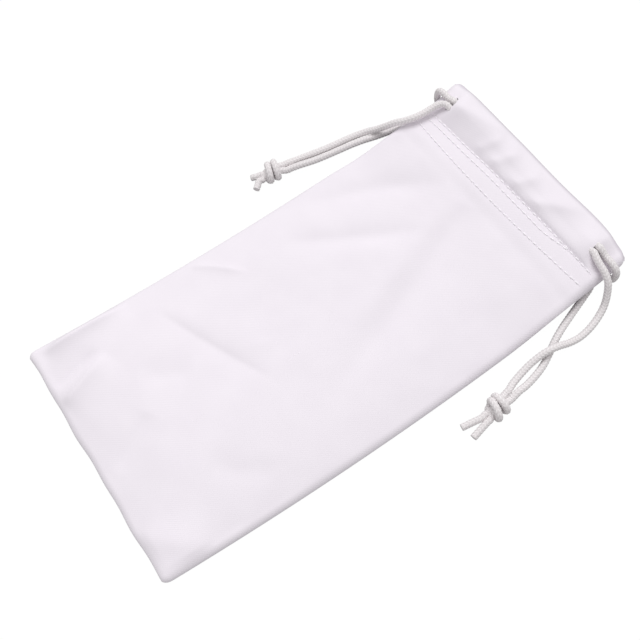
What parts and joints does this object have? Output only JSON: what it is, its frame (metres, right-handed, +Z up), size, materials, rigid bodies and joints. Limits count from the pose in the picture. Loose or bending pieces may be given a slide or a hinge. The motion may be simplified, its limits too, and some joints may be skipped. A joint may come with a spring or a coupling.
{
  "type": "eyeglass pouch",
  "caption": "Flat soft cloth pouch for eyeglasses with a turned hem round its mouth, closed by knotted drawcords that run through the hem from both sides.",
  "frame": {"origin": "middle of the pouch on the table it lies on, halfway between its bottom seam and its rim", "axes": "+X across the pouch to the right, +Y along it from the bottom seam to the mouth, +Z up from the table"},
  "size_m": [0.1239, 0.18, 0.0134],
  "materials": {
    "cloth": "brushed microfibre, pale lilac white",
    "seam_cloth": "brushed microfibre, turned-in edge",
    "thread": "fine sewing thread",
    "cord": "round braided cord, off-white"
  },
  "bodies": {
    "pouch": {"front_panel": "cloth", "back_panel": "cloth", "bottom_seam": "seam_cloth", "bottom_seam_thread": "thread", "front_upper_stitches": "thread", "front_lower_stitches": "thread", "back_upper_stitches": "thread", "back_lower_stitches": "thread"},
    "left_edge": {"left_side_seam": "seam_cloth", "left_seam_thread": "thread"},
    "right_edge": {"right_side_seam": "seam_cloth", "right_seam_thread": "thread"},
    "left_cord": {"left_channel_cord": "cord", "left_front_strand": "cord", "left_back_strand": "cord", "left_front_tail": "cord", "left_back_tail": "cord", "left_front_knot": "cord", "left_back_knot": "cord"},
    "right_cord": {"right_channel_cord": "cord", "right_front_strand": "cord", "right_back_strand": "cord", "right_front_tail": "cord", "right_back_tail": "cord", "right_front_knot": "cord", "right_back_knot": "cord"}
  },
  "joints": [
    {"name": "left_cord_pull", "type": "slide", "parent": "pouch", "child": "left_cord", "axis": [-1, 0, 0], "range_m": [0, 0.024], "deforming": ["front_panel", "back_panel", "front_upper_stitches", "front_lower_stitches", "back_upper_stitches", "back_lower_stitches", "left_channel_cord", "right_channel_cord"]},
    {"name": "right_cord_pull", "type": "slide", "parent": "pouch", "child": "right_cord", "axis": [1, 0, 0], "range_m": [0, 0.024]},
    {"name": "left_edge_gather", "type": "hinge", "parent": "pouch", "child": "left_edge", "pos_m": [-0.04535, -0.09, 0.0022], "axis": [0, 0, -1], "range_deg": [0, 7.9]},
    {"name": "right_edge_gather", "type": "hinge", "parent": "pouch", "child": "right_edge", "pos_m": [0.04465, -0.09, 0.0022], "axis": [0, 0, 1], "range_deg": [0, 7.9]}
  ],
  "couplings": [
    {"joint": "right_cord_pull", "follows": "left_cord_pull", "ratio": 1},
    {"joint": "left_edge_gather", "follows": "left_cord_pull", "rad_per_m": 5.727},
    {"joint": "right_edge_gather", "follows": "left_cord_pull", "rad_per_m": 5.727}
  ]
}
